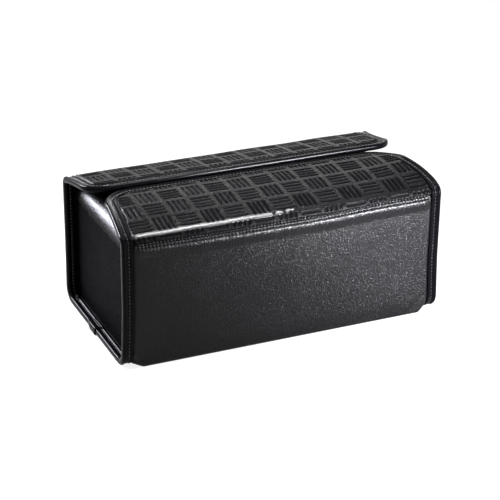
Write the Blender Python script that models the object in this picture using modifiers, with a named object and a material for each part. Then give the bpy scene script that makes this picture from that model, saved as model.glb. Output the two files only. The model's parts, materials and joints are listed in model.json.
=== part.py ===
"""Leather case for a box of tissues: a bound leather shell with two hinged top flaps.

The front looks along -Y and the origin is at the middle of the base. Every layer of the
walls is placed by its offset inward from the outer leather face, so the layers follow
each other when a thickness changes.
"""

import math

import bmesh
import bpy
from mathutils import Matrix, Vector

MM = 0.001

# Overall sizes
WIDTH = 270.0 * MM
DEPTH = 137.0 * MM
FOLD_HEIGHT = 110.0 * MM
FOLD_RADIUS = 8.0 * MM

# Layers
LEATHER = 1.2 * MM
BOARD = 2.0 * MM
FLAP_BOARD = 1.5 * MM
LINING = 0.6 * MM
TAPE = 0.6 * MM
GAP = 0.3 * MM

# Wrap: the corner at the base is tight in the middle and wide at the flanges
BASE_CORNER = 3.0 * MM
FLANGE_CORNER = 14.0 * MM
CORNER_RUN = 9.0 * MM
SEAM_DROP = 0.4 * MM
SEAM_SAG = 1.6 * MM
PINCH_RUN = 1.5 * MM

# Flange: the bound rim that stands out round each end panel
FLANGE_WIDTH = 9.0 * MM
FRONT_LEAN = 1.4 * MM
BACK_LEAN = 0.3 * MM
LEAN_RUN = 55.0 * MM
RIM_FILLET = 1.5 * MM

# Binding tape
TAPE_LEG = 8.6 * MM
TAPE_NOSE = 1.2 * MM
LAP_PLACE = 2.0 * MM
LAP_LENGTH = 12.0 * MM
LAP_FLARE = 5.0 * MM

# Flaps
SLIT_PLACE = 9.2 * MM
SLIT_GAP = 1.6 * MM
FRONT_FLAP_RISE = 5.9 * MM
BACK_FLAP_RISE = 9.2 * MM
FRONT_FLAP_TAPER = 5.8 * MM
BACK_FLAP_TAPER = 1.2 * MM
FRONT_FLAP_CORNER = 28.0 * MM
BACK_FLAP_CORNER = 15.0 * MM
FRONT_FOLD_ANGLE = math.radians(13.0)
BACK_FOLD_ANGLE = math.radians(13.0)
FLAP_BOARD_START = 3.0 * MM

# Tucks: the tongues that curve in over the ends
TUCK_RADIUS = 13.2 * MM
TUCK_CLEARANCE = 1.0 * MM
TUCK_REACH = 15.0 * MM
TUCK_SIDE_CLEARANCE = 2.0 * MM
TUCK_TAPER = 5.0 * MM
TUCK_CORNER = 8.0 * MM

# Boards and lining
BOARD_CORNER = 11.0 * MM
BOARD_DROP = 4.0 * MM
BOARD_SIDE_CLEARANCE = 1.0 * MM
LINING_CORNER = 2.0 * MM
LEAST_RADIUS = 0.3 * MM

# Counts
FOLD_STEPS = 7
CORNER_STEPS = 5
FLAP_SIDE_STEPS = 5
FLAP_CORNER_STEPS = 8
TUCK_STEPS = 7
NOSE_STEPS = 2
FILLET_STEPS = 3
BEVEL_STEPS = 5

# Shape of rounded edges, and the angle over which an edge shows as a crease
ROUND_SHARE = 0.5
SHARP_ANGLE = math.radians(35)

# Rows of the wrap down a wall, as shares of the way from its seam to the base corner
WALL_ROW_SHARES = (0.0, 0.5, 0.85)

# Worked out from the values above
HALF_WIDTH = WIDTH / 2
HALF_DEPTH = DEPTH / 2
TAPE_STACK = TAPE + GAP
EDGE_PINCH = 2 * TAPE_STACK
EDGE_X = HALF_WIDTH - TAPE_STACK
END_X = HALF_WIDTH - FLANGE_WIDTH
PINCH_FULL = TAPE_LEG + GAP
BOARD_FACE = LEATHER + GAP
BOARD_BACK = BOARD_FACE + BOARD
LINING_FACE = BOARD_BACK + GAP
LINING_BACK = LINING_FACE + LINING
END_BOARD_X = END_X - BOARD_FACE
END_LINING_X = END_X - LINING_FACE
INNER_X = END_X - LINING_BACK
BOARD_HALF_X = END_BOARD_X - BOARD - BOARD_SIDE_CLEARANCE
LEG_FACE = EDGE_PINCH + LEATHER + GAP
LEG_BACK = LEG_FACE + LEATHER
RIM_TAPE_BACK = LEG_BACK + TAPE_STACK
RIM_TAPE_END = END_X + RIM_FILLET + GAP
FLAP_BOARD_BACK = BOARD_FACE + FLAP_BOARD
FLAP_LINING_FACE = FLAP_BOARD_BACK + GAP
FLAP_TAPE_BACK = FLAP_LINING_FACE + LINING + TAPE_STACK
FOLD_Y = HALF_DEPTH - FOLD_RADIUS
FOLD_Z = FOLD_HEIGHT - FOLD_RADIUS
SEAM_HEIGHT = FOLD_Z - SEAM_DROP
BOARD_TOP = FOLD_Z - BOARD_DROP
TUCK_HEIGHT = FOLD_HEIGHT - FLAP_TAPE_BACK - TUCK_CLEARANCE - TUCK_RADIUS
TUCK_ROOT_HALF = HALF_DEPTH - LEG_BACK - TUCK_SIDE_CLEARANCE
TUCK_END_HALF = TUCK_ROOT_HALF - TUCK_TAPER

FRONT = -1
BACK = 1
LEFT = -1
RIGHT = 1

COLOURS = {
    "smooth_leather": ((0.020, 0.020, 0.022, 1.0), 0.42),
    "embossed_leather": ((0.024, 0.024, 0.027, 1.0), 0.38),
    "binding_tape": ((0.012, 0.012, 0.013, 1.0), 0.24),
    "lining_cloth": ((0.035, 0.034, 0.034, 1.0), 0.85),
    "grey_board": ((0.230, 0.215, 0.190, 1.0), 0.90),
}


def smooth_share(value):
    """An even rise from 0 to 1, flat at both ends."""
    share = min(1.0, max(0.0, value))
    return share * share * (3 - 2 * share)


def clear_scene():
    for old in list(bpy.data.objects):
        bpy.data.objects.remove(old, do_unlink=True)


def new_collection(name):
    collection = bpy.data.collections.new(name)
    bpy.context.scene.collection.children.link(collection)
    return collection


def finish_material(piece_name, finish):
    colour, roughness = COLOURS[finish]
    material = bpy.data.materials.new(f"{piece_name}_{finish}")
    material.use_nodes = True
    shader = material.node_tree.nodes["Principled BSDF"]
    shader.inputs["Base Color"].default_value = colour
    shader.inputs["Roughness"].default_value = roughness
    shader.inputs["Metallic"].default_value = 0.0
    return material


def add_piece(name, mesh, finish, pivot=None):
    """Link a mesh made in world places, and hang it on its joint's empty if it moves."""
    piece = bpy.data.objects.new(name, mesh)
    case_collection.objects.link(piece)
    mesh.materials.append(finish_material(name, finish))
    mesh.shade_smooth()
    mesh.set_sharp_from_angle(angle=SHARP_ANGLE)
    if pivot is not None:
        piece.parent = pivot
        piece.matrix_parent_inverse = Matrix.Translation(-pivot.location)
    return piece


def add_pivot(name, place):
    pivot = bpy.data.objects.new(name, None)
    pivot.location = place
    case_collection.objects.link(pivot)
    return pivot


def add_sheet(name, rows, thickness, facing, finish, pivot=None):
    """A sheet through rows of points, its visible face there and its thickness behind.

    facing is a direction that the first face looks along.
    """
    shape = bmesh.new()
    grid = []
    for row in rows:
        grid.append([shape.verts.new(point) for point in row])
    for upper, lower in zip(grid, grid[1:]):
        for step in range(len(upper) - 1):
            shape.faces.new((upper[step], upper[step + 1], lower[step + 1], lower[step]))
    shape.normal_update()
    shape.faces.ensure_lookup_table()
    if shape.faces[0].normal.dot(Vector(facing)) < 0:
        bmesh.ops.reverse_faces(shape, faces=shape.faces)
    mesh = bpy.data.meshes.new(name)
    shape.to_mesh(mesh)
    shape.free()
    piece = add_piece(name, mesh, finish, pivot)
    thicken(piece, thickness)
    return piece


def thicken(piece, thickness):
    shell = piece.modifiers.new("thickness", "SOLIDIFY")
    shell.thickness = thickness
    shell.offset = -1.0
    shell.use_even_offset = True


def add_strip(name, sections, finish, pivot=None):
    """A closed solid lofted through sections with the same number of points."""
    shape = bmesh.new()
    rings = []
    for section in sections:
        rings.append([shape.verts.new(point) for point in section])
    count = len(rings[0])
    for ring, following in zip(rings, rings[1:]):
        for step in range(count):
            after = (step + 1) % count
            shape.faces.new((ring[step], ring[after], following[after], following[step]))
    shape.faces.new(rings[0])
    shape.faces.new(rings[-1])
    bmesh.ops.recalc_face_normals(shape, faces=shape.faces)
    mesh = bpy.data.meshes.new(name)
    shape.to_mesh(mesh)
    shape.free()
    return add_piece(name, mesh, finish, pivot)


def add_plate(name, size, centre, thin_axis, corner, finish):
    """A box with its four corners rounded in its own plane."""
    shape = bmesh.new()
    bmesh.ops.create_cube(shape, size=1.0)
    bmesh.ops.scale(shape, vec=size, verts=shape.verts)
    bmesh.ops.translate(shape, vec=centre, verts=shape.verts)
    edges = []
    for edge in shape.edges:
        run = edge.verts[1].co - edge.verts[0].co
        if abs(run[thin_axis]) > size[thin_axis] / 2:
            edges.append(edge)
    bmesh.ops.bevel(
        shape,
        geom=edges,
        offset=corner,
        segments=BEVEL_STEPS,
        profile=ROUND_SHARE,
        affect="EDGES",
    )
    mesh = bpy.data.meshes.new(name)
    shape.to_mesh(mesh)
    shape.free()
    return add_piece(name, mesh, finish)


def lean(place_y, height):
    """How far the flange has drawn in at a height, on the front or the back half."""
    full = FRONT_LEAN if place_y < 0 else BACK_LEAN
    return full * smooth_share(height / LEAN_RUN)


def base_corner(edge_distance):
    share = smooth_share((edge_distance - PINCH_FULL) / CORNER_RUN)
    return FLANGE_CORNER + (BASE_CORNER - FLANGE_CORNER) * share


def pinch(edge_distance):
    """How far the leather is pressed in under the tape, by distance from the bound edge."""
    return EDGE_PINCH * (1 - smooth_share((edge_distance - PINCH_FULL) / PINCH_RUN))


def seam_height(place_x):
    share = place_x / HALF_WIDTH
    return SEAM_HEIGHT - SEAM_SAG * (1 - share * share)


def fold_angle(side):
    return FRONT_FOLD_ANGLE if side == FRONT else BACK_FOLD_ANGLE


def fold_point(side, angle, offset):
    """A point of the top fold: angle 90 degrees is on the wall, less is nearer the flap."""
    radius = max(FOLD_RADIUS - offset, LEAST_RADIUS)
    reach = HALF_DEPTH - offset - radius + radius * math.sin(angle)
    height = FOLD_HEIGHT - offset - radius + radius * math.cos(angle)
    return side * reach, height


def wall_point(side, height, offset):
    return side * (HALF_DEPTH - offset), height


def corner_point(side, angle, offset, corner):
    """A point of the base corner: angle 0 is on the wall, 90 degrees is on the base."""
    radius = max(corner - offset, LEAST_RADIUS)
    reach = HALF_DEPTH - offset - radius + radius * math.cos(angle)
    height = offset + radius - radius * math.sin(angle)
    return side * reach, height


def fold_run(side, offset):
    """The fold from the flap's hinge line down to the wall."""
    radius = max(FOLD_RADIUS - offset, LEAST_RADIUS)
    first = fold_angle(side) + GAP / radius
    points = []
    for step in range(FOLD_STEPS + 1):
        angle = first + (math.pi / 2 - first) * step / FOLD_STEPS
        points.append(fold_point(side, angle, offset))
    return points


def corner_run(side, offset, corner):
    points = []
    for step in range(CORNER_STEPS + 1):
        angle = math.pi / 2 * step / CORNER_STEPS
        points.append(corner_point(side, angle, offset, corner))
    return points


def wrap_side(side, edge_distance, place_x):
    """The wrap in one column, from the seam to the end of the base corner."""
    offset = pinch(edge_distance)
    corner = base_corner(edge_distance)
    top = seam_height(place_x) - GAP / 2
    low = corner_point(side, 0.0, offset, corner)[1]
    points = []
    for share in WALL_ROW_SHARES:
        points.append(wall_point(side, top + (low - top) * share, offset))
    return points + corner_run(side, offset, corner)


def bound_columns():
    """Columns of a bound sheet: the side that each is on, and its distance from the edge."""
    near = [
        0.0,
        PINCH_FULL,
        PINCH_FULL + PINCH_RUN / 2,
        PINCH_FULL + PINCH_RUN,
        PINCH_FULL + (PINCH_RUN + CORNER_RUN) / 2,
        PINCH_FULL + CORNER_RUN,
        EDGE_X / 2,
    ]
    columns = [(LEFT, distance) for distance in near]
    columns.append((0, EDGE_X))
    columns.extend((RIGHT, distance) for distance in reversed(near))
    return columns


def column_points(end, edge_distance, outline):
    """Outline points (y, z) set at a column's own distance from the leaning edge."""
    points = []
    for y, z in outline:
        points.append(Vector((end * (EDGE_X - lean(y, z) - edge_distance), y, z)))
    return points


def make_outer_wrap():
    columns = []
    for end, distance in bound_columns():
        place_x = end * (EDGE_X - distance)
        front = wrap_side(FRONT, distance, place_x)
        back = wrap_side(BACK, distance, place_x)
        back.reverse()
        middle = [(0.0, pinch(distance))]
        columns.append(column_points(end, distance, front + middle + back))
    add_sheet("outer_wrap", columns, LEATHER, (0, FRONT, 0), "smooth_leather")


def make_fold_strip(name, side):
    """Embossed leather from the wall's seam up over the fold to the flap's hinge line."""
    columns = []
    for end, distance in bound_columns():
        offset = pinch(distance)
        low = seam_height(end * (EDGE_X - distance)) + GAP / 2
        outline = fold_run(side, offset)
        outline.append(wall_point(side, low, offset))
        columns.append(column_points(end, distance, outline))
    add_sheet(name, columns, LEATHER, (0, 0, 1), "embossed_leather")


def make_boards():
    board_height = BOARD_TOP - LINING_FACE
    for name, side in (("front_board", FRONT), ("back_board", BACK)):
        add_plate(
            name,
            (2 * BOARD_HALF_X, BOARD, board_height),
            (0, side * (HALF_DEPTH - BOARD_FACE - BOARD / 2), LINING_FACE + board_height / 2),
            1,
            BOARD_CORNER,
            "grey_board",
        )
    add_plate(
        "base_board",
        (2 * BOARD_HALF_X, 2 * (HALF_DEPTH - LINING_FACE), BOARD),
        (0, 0, BOARD_FACE + BOARD / 2),
        2,
        BOARD_CORNER,
        "grey_board",
    )


def make_end_layers(prefix, end):
    """The stiffener of an end panel and the cloth behind it."""
    corner = FLANGE_CORNER - LINING_FACE
    top = TUCK_HEIGHT - GAP
    height = top - LINING_FACE
    width = 2 * (HALF_DEPTH - LINING_FACE)
    layers = (("end_board", END_BOARD_X, BOARD), ("end_lining", END_LINING_X, LINING))
    for layer, face, thickness in layers:
        finish = "grey_board" if layer == "end_board" else "lining_cloth"
        add_plate(
            f"{prefix}_{layer}",
            (thickness, width, height),
            (end * (face - thickness / 2), 0, LINING_FACE + height / 2),
            0,
            corner,
            finish,
        )


def make_case_lining():
    """Cloth over the front, base and back boards, and up to the flaps' hinge lines."""
    outline = []
    for side in (FRONT, BACK):
        run = fold_run(side, LINING_FACE)
        run += corner_run(side, LINING_FACE, LINING_FACE + LINING_CORNER)
        if side == BACK:
            run.reverse()
        outline += run
    half = INNER_X - GAP
    columns = []
    for place_x in (-half, 0.0, half):
        columns.append([Vector((place_x, y, z)) for y, z in outline])
    add_sheet("case_lining", columns, LINING, (0, 0, 1), "lining_cloth")


def flange_run(side, offset):
    """One half of the flange's outline at an offset: hinge line, fold, wall, base corner."""
    points = fold_run(side, offset)
    low = corner_point(side, 0.0, offset, FLANGE_CORNER)[1]
    top = points[-1][1]
    for height in (TUCK_HEIGHT - GAP, (TUCK_HEIGHT + low) / 2):
        if low < height < top:
            points.append(wall_point(side, height, offset))
    return points + corner_run(side, offset, FLANGE_CORNER)


def make_end_leather(prefix, end):
    """An end panel with its rim turned out as the inner leather of the flange.

    The rim is a loft along the flange from one hinge line to the other, and the flat
    panel fills it up to the tuck's root.
    """
    shape = bmesh.new()
    loops = []
    profile = [("edge", LEG_BACK), ("rim", LEG_BACK)]
    for step in range(1, FILLET_STEPS + 1):
        angle = math.pi / 2 * step / FILLET_STEPS
        profile.append((angle, LEG_BACK + RIM_FILLET * (1 - math.cos(angle))))
    for place, offset in profile:
        front = flange_run(FRONT, offset)
        back = flange_run(BACK, offset)
        back.reverse()
        loop = []
        for y, z in front + back:
            if place == "edge":
                x = EDGE_X - lean(y, z)
            elif place == "rim":
                x = END_X + RIM_FILLET
            else:
                x = END_X + RIM_FILLET * (1 - math.sin(place))
            loop.append(shape.verts.new((end * x, y, z)))
        loops.append(loop)
    first = FOLD_STEPS + 1
    last = len(loops[0]) - 2 - FOLD_STEPS
    for index, (loop, following) in enumerate(zip(loops, loops[1:])):
        start, stop = (0, len(loop) - 1) if index == 0 else (first, last)
        for step in range(start, stop):
            shape.faces.new(
                (loop[step], loop[step + 1], following[step + 1], following[step])
            )
    shape.faces.new(loops[-1][first : last + 1])
    bmesh.ops.delete(
        shape, geom=[vert for vert in shape.verts if not vert.link_faces], context="VERTS"
    )
    bmesh.ops.recalc_face_normals(shape, faces=shape.faces)
    panel = max(shape.faces, key=lambda face: face.calc_area())
    if panel.normal.x * end < 0:
        bmesh.ops.reverse_faces(shape, faces=shape.faces)
    name = f"{prefix}_end_leather"
    mesh = bpy.data.meshes.new(name)
    shape.to_mesh(mesh)
    shape.free()
    piece = add_piece(name, mesh, "smooth_leather")
    thicken(piece, LEATHER)


def tape_profile(top_leg, back_leg, face, back):
    """The tape folded round an edge, as (distance in from the nose, offset) pairs."""
    outer = []
    inner = []
    for step in range(NOSE_STEPS + 1):
        angle = math.pi / 2 * step / NOSE_STEPS
        across = 1 - math.sin(angle)
        down = 1 - math.cos(angle)
        outer.append((TAPE_NOSE * across, face + TAPE_NOSE * down))
        small = TAPE_NOSE - TAPE
        inner.append((TAPE + small * across, face + TAPE + small * down))
    mirrored_outer = [(place, face + back - offset) for place, offset in reversed(outer)]
    mirrored_inner = [(place, face + back - offset) for place, offset in reversed(inner)]
    loop = [(top_leg, face)] + outer + mirrored_outer + [(back_leg, back)]
    loop += [(back_leg, back - TAPE)] + list(reversed(mirrored_inner))
    loop += list(reversed(inner)) + [(top_leg, face + TAPE)]
    return loop


def rim_section(end, outline_at, swell):
    """The tape's section at one place on the flange. swell lifts it over another tape."""
    y, z = outline_at(TAPE_STACK)
    rim_x = HALF_WIDTH - lean(y, z)
    profile = tape_profile(
        TAPE_LEG + swell,
        rim_x + swell - RIM_TAPE_END,
        TAPE_STACK - swell,
        RIM_TAPE_BACK + swell,
    )
    section = []
    for place, offset in profile:
        y, z = outline_at(offset)
        section.append(Vector((end * (rim_x + swell - place), y, z)))
    return section


def make_rim_binding(name, end, side):
    """Tape over one half of a flange, from the hinge line to the middle of the base.

    The back tape's end laps over the front tape's end.
    """
    stations = []
    count = len(flange_run(side, TAPE_STACK))
    for index in range(count):
        stations.append((lambda offset, index=index: flange_run(side, offset)[index], 0.0))
    front_end = LAP_PLACE + LAP_LENGTH / 2
    if side == FRONT:
        places = [(-FOLD_Y / 2, 0.0), (front_end, 0.0)]
    else:
        flare_start = front_end + GAP + LAP_FLARE
        places = [
            (flare_start, 0.0),
            (front_end + GAP, TAPE_STACK),
            (LAP_PLACE - LAP_LENGTH / 2, TAPE_STACK),
        ]
    for place_y, swell in places:
        stations.append((lambda offset, place_y=place_y: (place_y, offset), swell))
    sections = [rim_section(end, outline_at, swell) for outline_at, swell in stations]
    add_strip(name, sections, "binding_tape")


class Flap:
    """The surface of one top flap. s runs from the hinge line to the slit."""

    def __init__(self, name, side, rise, taper, corner):
        self.name = name
        self.side = side
        self.rise = rise
        self.corner = corner
        angle = fold_angle(side)
        self.hinge_y, self.hinge_z = fold_point(side, angle, 0.0)
        self.hinge_half = HALF_WIDTH - lean(self.hinge_y, self.hinge_z)
        self.slit_half = self.hinge_half - taper
        slit_y = SLIT_PLACE + side * SLIT_GAP / 2
        self.length = side * (self.hinge_y - slit_y)
        self.crown = self.length * math.tan(angle) - rise

    def point(self, place_x, s, offset):
        """A place on the flap, offset inward from its top face."""
        share = s / self.length
        height = self.rise * share + self.crown * share * (1 - share)
        slope = math.atan((self.rise + self.crown * (1 - 2 * share)) / self.length)
        y = self.hinge_y - self.side * (s + offset * math.sin(slope))
        return Vector((place_x, y, self.hinge_z + height - offset * math.cos(slope)))

    def half_width(self, s):
        share = min(1.0, s / (self.length - self.corner))
        return self.hinge_half + (self.slit_half - self.hinge_half) * share

    def outline(self, start, inset):
        """(x, s) places along the left side, corner, slit, corner and right side.

        The outline is drawn in by inset, and its places keep their count at any inset.
        """
        straight = self.length - self.corner
        places = []
        for step in range(FLAP_SIDE_STEPS):
            s = start + (straight - start) * step / FLAP_SIDE_STEPS
            places.append((-(self.half_width(s) - inset), s))
        radius = max(self.corner - inset, LEAST_RADIUS)
        centre_x = self.slit_half - inset - radius
        centre_s = self.length - inset - radius
        for step in range(FLAP_CORNER_STEPS + 1):
            angle = math.pi / 2 * step / FLAP_CORNER_STEPS
            place_x = -(centre_x + radius * math.cos(angle))
            places.append((place_x, centre_s + radius * math.sin(angle)))
        mirrored = [(-place_x, s) for place_x, s in reversed(places)]
        return places + mirrored


def add_flap_layer(flap, layer, thickness, start, loops, finish, pivot):
    """One layer of a flap: bands between loops round its bound edge, and a filled middle.

    loops holds an inset from the flap's edge and an offset from its top face for each loop.
    """
    shape = bmesh.new()
    rings = []
    for inset, offset in loops:
        places = flap.outline(start, inset)
        rings.append([shape.verts.new(flap.point(x, s, offset)) for x, s in places])
    for outer, inner in zip(rings, rings[1:]):
        for step in range(len(outer) - 1):
            shape.faces.new((outer[step], outer[step + 1], inner[step + 1], inner[step]))
    inner = rings[-1]
    for step in range(len(inner) // 2 - 1):
        across = len(inner) - 1 - step
        shape.faces.new((inner[step], inner[step + 1], inner[across - 1], inner[across]))
    bmesh.ops.recalc_face_normals(shape, faces=shape.faces)
    shape.faces.ensure_lookup_table()
    if shape.faces[-1].normal.z < 0:
        bmesh.ops.reverse_faces(shape, faces=shape.faces)
    name = f"{flap.name}_{layer}"
    mesh = bpy.data.meshes.new(name)
    shape.to_mesh(mesh)
    shape.free()
    thicken(add_piece(name, mesh, finish, pivot), thickness)


def make_flap_binding(flap, pivot):
    """Tape folded over a flap's two sides, rounded corners and slit edge."""
    profile = tape_profile(TAPE_LEG, TAPE_LEG, TAPE_STACK, FLAP_TAPE_BACK)
    lines = []
    for inset, offset in profile:
        lines.append([flap.point(x, s, offset) for x, s in flap.outline(GAP, inset)])
    add_strip(f"{flap.name}_binding", list(zip(*lines)), "binding_tape", pivot)


def make_flap(name, side, rise, taper, corner):
    flap = Flap(name, side, rise, taper, corner)
    pivot = add_pivot(f"{name}_hinge", (0, flap.hinge_y, flap.hinge_z))
    pinch_end = PINCH_FULL + PINCH_RUN
    pinched = [(TAPE_STACK, EDGE_PINCH), (PINCH_FULL, EDGE_PINCH)]
    pinched += [(PINCH_FULL + PINCH_RUN / 2, EDGE_PINCH / 2), (pinch_end, 0.0)]
    ramp = math.atan2(EDGE_PINCH, PINCH_RUN)
    board = [(pinch_end + LEATHER * math.tan(ramp / 2) + GAP, BOARD_FACE)]
    lining = [(TAPE_STACK, FLAP_LINING_FACE)]
    add_flap_layer(flap, "leather", LEATHER, GAP, pinched, "embossed_leather", pivot)
    add_flap_layer(flap, "board", FLAP_BOARD, FLAP_BOARD_START, board, "grey_board", pivot)
    add_flap_layer(flap, "lining", LINING, GAP, lining, "lining_cloth", pivot)
    make_flap_binding(flap, pivot)


def tuck_half(run, length):
    """Half the tuck's width at a distance along it from its root."""
    half = TUCK_ROOT_HALF + (TUCK_END_HALF - TUCK_ROOT_HALF) * run / length
    into_corner = run - (length - TUCK_CORNER)
    if into_corner <= 0:
        return half
    chord = math.sqrt(max(TUCK_CORNER**2 - into_corner**2, 0.0))
    return half - TUCK_CORNER + chord


def make_tuck(prefix, end):
    """A tongue that rises from the end panel and curves in under the flaps."""
    pivot = add_pivot(f"{prefix}_tuck_hinge", (end * INNER_X, 0, TUCK_HEIGHT))
    layers = (
        ("leather", 0.0, LEATHER, "smooth_leather"),
        ("lining", BOARD_FACE, LINING, "lining_cloth"),
    )
    length = TUCK_RADIUS * math.pi / 2 + TUCK_REACH
    runs = [TUCK_RADIUS * math.pi / 2 * step / TUCK_STEPS for step in range(TUCK_STEPS + 1)]
    runs.append(length - TUCK_CORNER)
    for step in range(1, CORNER_STEPS + 1):
        share = math.sin(math.pi / 2 * step / CORNER_STEPS)
        runs.append(length - TUCK_CORNER + TUCK_CORNER * share)
    for layer, offset, thickness, finish in layers:
        radius = TUCK_RADIUS - offset
        rows = []
        for run in runs:
            angle = min(run / TUCK_RADIUS, math.pi / 2)
            reach = END_X - TUCK_RADIUS + radius * math.cos(angle)
            reach -= max(run - TUCK_RADIUS * math.pi / 2, 0.0)
            height = TUCK_HEIGHT + radius * math.sin(angle)
            half = tuck_half(run, length)
            rows.append(
                [Vector((end * reach, place_y, height)) for place_y in (-half, 0.0, half)]
            )
        add_sheet(f"{prefix}_tuck_{layer}", rows, thickness, (end, 0, 0), finish, pivot)


def make_case():
    make_outer_wrap()
    make_fold_strip("front_fold_strip", FRONT)
    make_fold_strip("back_fold_strip", BACK)
    make_boards()
    make_case_lining()
    for prefix, end in (("left", LEFT), ("right", RIGHT)):
        make_end_layers(prefix, end)
        make_end_leather(prefix, end)
        make_rim_binding(f"{prefix}_front_binding", end, FRONT)
        make_rim_binding(f"{prefix}_back_binding", end, BACK)
        make_tuck(prefix, end)
    make_flap("front_flap", FRONT, FRONT_FLAP_RISE, FRONT_FLAP_TAPER, FRONT_FLAP_CORNER)
    make_flap("back_flap", BACK, BACK_FLAP_RISE, BACK_FLAP_TAPER, BACK_FLAP_CORNER)


clear_scene()
case_collection = new_collection("leather_tissue_case")
make_case()
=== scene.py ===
"""The looks of the leather tissue case: leather covers, bound edges, stitches and lining.

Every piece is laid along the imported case: the same folds, offsets and hinge lines. Lengths
are in metres, the front looks along -Y, and z = 0 is what the case stands on.
"""

import json
import math

import bpy
import numpy as np
from mathutils import Matrix, Vector


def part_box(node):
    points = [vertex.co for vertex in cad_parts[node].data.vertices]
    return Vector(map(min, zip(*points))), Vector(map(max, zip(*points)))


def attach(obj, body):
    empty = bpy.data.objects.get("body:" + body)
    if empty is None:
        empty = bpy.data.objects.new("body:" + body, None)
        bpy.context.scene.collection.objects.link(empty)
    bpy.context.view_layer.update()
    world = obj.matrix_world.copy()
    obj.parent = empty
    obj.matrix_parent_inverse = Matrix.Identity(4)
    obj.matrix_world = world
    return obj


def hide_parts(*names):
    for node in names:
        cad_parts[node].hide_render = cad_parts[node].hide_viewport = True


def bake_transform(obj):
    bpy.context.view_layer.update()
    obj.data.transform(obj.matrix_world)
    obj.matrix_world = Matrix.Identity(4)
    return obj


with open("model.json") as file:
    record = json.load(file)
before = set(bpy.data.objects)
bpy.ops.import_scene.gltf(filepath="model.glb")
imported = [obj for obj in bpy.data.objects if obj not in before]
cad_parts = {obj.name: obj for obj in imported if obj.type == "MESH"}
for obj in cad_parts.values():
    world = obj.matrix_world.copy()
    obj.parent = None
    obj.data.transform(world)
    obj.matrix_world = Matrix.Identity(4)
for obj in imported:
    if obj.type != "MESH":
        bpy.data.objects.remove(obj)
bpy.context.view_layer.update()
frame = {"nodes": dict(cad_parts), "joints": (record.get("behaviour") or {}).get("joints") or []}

MM = 0.001
QUARTER = math.pi / 2
LEFT, RIGHT = -1, 1
FRONT, BACK = -1, 1

# Sizes read from the frame
HALF_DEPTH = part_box("outer_wrap")[1].y
HALF_WIDTH = -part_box("left_front_binding")[0].x
JOINTS = {joint["name"]: joint for joint in frame["joints"]}
HINGE_HEIGHT = JOINTS["front_flap_hinge"]["pos_m"][2]
TUCK_HEIGHT = JOINTS["left_tuck_hinge"]["pos_m"][2]
INNER_X = JOINTS["right_tuck_hinge"]["pos_m"][0]

# Sizes of the construction, as the case is made
LEATHER = 1.2 * MM
LINING = 0.6 * MM
TAPE = 0.6 * MM
GAP = 0.3 * MM
BOARD = 2.0 * MM
FLAP_BOARD = 1.5 * MM
FOLD_RADIUS = 8.0 * MM
FOLD_ANGLE = math.radians(13.0)
BASE_CORNER = 3.0 * MM
FLANGE_CORNER = 14.0 * MM
CORNER_RUN = 9.0 * MM
FLANGE_WIDTH = 9.0 * MM
FRONT_LEAN = 1.4 * MM
BACK_LEAN = 0.3 * MM
LEAN_RUN = 55.0 * MM
RIM_FILLET = 1.5 * MM
TAPE_LEG = 8.6 * MM
LAP_PLACE = 2.0 * MM
LAP_LENGTH = 12.0 * MM
LAP_FLARE = 5.0 * MM
TUCK_RADIUS = 13.2 * MM
TUCK_REACH = 15.0 * MM
TUCK_SIDE_CLEARANCE = 2.0 * MM
TUCK_TAPER = 5.0 * MM
TUCK_CORNER = 8.0 * MM
PINCH_RUN = 1.5 * MM
SLIT_PLACE = 9.2 * MM
SLIT_GAP = 1.6 * MM
FLAP_SHAPES = {
    "front": dict(
        side=FRONT, rise=5.9 * MM, taper=5.8 * MM, corner=28.0 * MM,
        puff=2.7 * MM, puff_run=60.0 * MM, droop=0.9 * MM, full=0.35 * MM,
    ),
    "back": dict(
        side=BACK, rise=9.2 * MM, taper=1.2 * MM, corner=18.0 * MM,
        puff=-1.4 * MM, puff_run=16.0 * MM, droop=0.0, full=-0.25 * MM,
    ),
}

TAPE_STACK = TAPE + GAP
EDGE_PINCH = 2 * TAPE_STACK
PINCH_FULL = TAPE_LEG + GAP
END_X = HALF_WIDTH - FLANGE_WIDTH
FOLD_Z = HINGE_HEIGHT - FOLD_RADIUS * math.cos(FOLD_ANGLE)
FOLD_HEIGHT = FOLD_Z + FOLD_RADIUS
FOLD_LENGTH = FOLD_RADIUS * (QUARTER - FOLD_ANGLE)
LINING_FACE = LEATHER + GAP + BOARD + GAP
LEG_BACK = EDGE_PINCH + LEATHER + GAP + LEATHER
RIM_TAPE_BACK = LEG_BACK + TAPE_STACK
RIM_TAPE_END = END_X + RIM_FILLET + GAP
FLAP_LINING_FACE = LEATHER + GAP + FLAP_BOARD + GAP
FLAP_TAPE_BACK = FLAP_LINING_FACE + LINING + TAPE_STACK
TUCK_ROOT_HALF = HALF_DEPTH - LEG_BACK - TUCK_SIDE_CLEARANCE
TUCK_END_HALF = TUCK_ROOT_HALF - TUCK_TAPER

# Modelled sheets, which are thinner than the leather that they show
THIN_SHEET = 0.8 * MM
WALL_SHEET = 0.9 * MM

# Embossing: a basket weave of bars, pressed into the leather
COVER_STEP = 0.55 * MM
EMBOSS_DEPTH = 0.8 * MM
STAMP_PLACE = 17.1 * MM
CELL = 16.0 * MM
CELL_GAP = 3.2 * MM
BARS = 4
BAR_SHARE = 0.58
BAR_EDGE = 0.45 * MM

# A painted highlight: ragged patches of a shinier, lighter copy of the leather over the fold,
# fewer further right
HIGHLIGHT_LOW = 5.6 * MM
HIGHLIGHT_HIGH = 0.6 * MM
HIGHLIGHT_FADE = 60.0 * MM

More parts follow.
